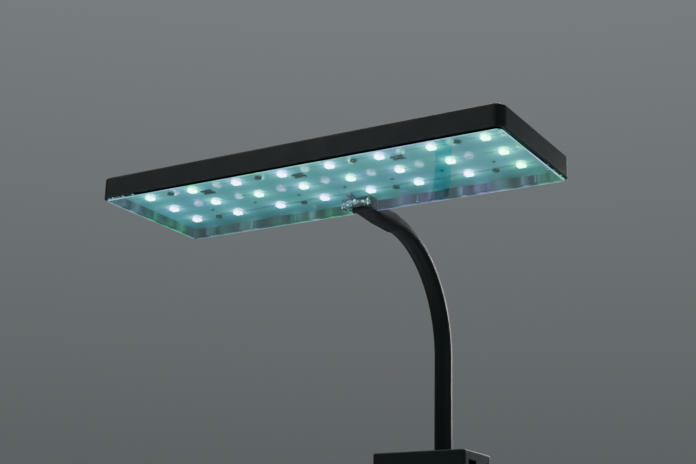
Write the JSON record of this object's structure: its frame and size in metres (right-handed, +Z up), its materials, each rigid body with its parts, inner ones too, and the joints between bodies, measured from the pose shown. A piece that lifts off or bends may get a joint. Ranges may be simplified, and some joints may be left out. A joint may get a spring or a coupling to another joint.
{
  "type": "led aquarium light",
  "caption": "Flat rectangular LED lamp head on a bent tube arm, with a screw clamp that hangs over the glass wall of an aquarium.",
  "frame": {"origin": "centre of the ceiling of the slot that hangs over the tank's glass wall", "axes": "+X along the lamp head, +Y out of the tank (from the fixed jaw towards the thumb screw), +Z up"},
  "size_m": [0.3, 0.2563, 0.2292],
  "materials": {
    "head_shell": "fine matt moulded black",
    "clear_cover": "clear polished acrylic",
    "seal": "soft grey silicone",
    "board": "glossy white solder mask",
    "heat_spreader": "plain rolled sheet",
    "led_package": "white moulded package",
    "led_window": "lit silicone window",
    "chip": "black moulded package",
    "solder": "bright solder",
    "fastener": "zinc-plated steel",
    "red_insulation": "red cable insulation",
    "black_insulation": "black cable insulation",
    "hinge_plastic": "fine matt moulded black",
    "nylon": "natural nylon",
    "tube": "satin black powder coat",
    "clamp_plastic": "fine matt moulded black",
    "soft_pad": "soft black rubber",
    "brass": "turned brass",
    "knob": "matt black with polished flutes",
    "contact": "nickel-plated contact"
  },
  "bodies": {
    "clamp": {"clamp_body": "clamp_plastic", "base_cover": "clamp_plastic", "cover_screws": "fastener", "swivel_bush": "nylon", "thread_insert": "brass", "front_jaw_pad": "soft_pad", "inlet_socket": "knob", "inlet_pin": "contact", "inlet_nut": "fastener", "clamp_lead": "black_insulation"},
    "arm": {"arm_tube": "tube", "arm_lead": "black_insulation", "hinge_neck": "hinge_plastic", "neck_grub_screw": "fastener", "arm_collar": "hinge_plastic", "retaining_ring": "fastener"},
    "head": {"head_housing": "head_shell", "lens_cover": "clear_cover", "lens_gasket": "seal", "led_board": "board", "heat_spreader": "heat_spreader", "led_packages": "led_package", "led_windows": "led_window", "driver_chips": "chip", "board_resistors": "chip", "solder_joints": "solder", "board_screws": "fastener", "lead_red": "red_insulation", "lead_black": "black_insulation", "hinge_bracket": "hinge_plastic", "bracket_screws": "fastener", "hinge_pins": "fastener", "tilt_washers": "nylon"},
    "shoe": {"pressure_plate": "clamp_plastic", "pressure_pad": "soft_pad", "screw_clip": "fastener"},
    "thumb_screw": {"clamp_screw": "fastener", "thumb_knob": "knob", "knob_cap": "knob"}
  },
  "joints": [
    {"name": "arm_swivel", "type": "hinge", "parent": "clamp", "child": "arm", "pos_m": [0, 0.0282, 0], "axis": [0, 0, 1], "range_deg": [-90, 90]},
    {"name": "head_tilt", "type": "hinge", "parent": "arm", "child": "head", "pos_m": [0, -0.0968, 0.1673], "axis": [1, 0, 0], "range_deg": [-5, 30]},
    {"name": "clamp_slide", "type": "slide", "parent": "clamp", "child": "shoe", "axis": [0, -1, 0], "range_m": [0, 0.006]},
    {"name": "screw_turn", "type": "hinge", "parent": "shoe", "child": "thumb_screw", "pos_m": [0, 0.0448, -0.032], "axis": [0, -1, 0], "range_deg": [0, 1080]}
  ],
  "couplings": [
    {"joint": "screw_turn", "follows": "clamp_slide", "rad_per_m": 3141.6}
  ]
}
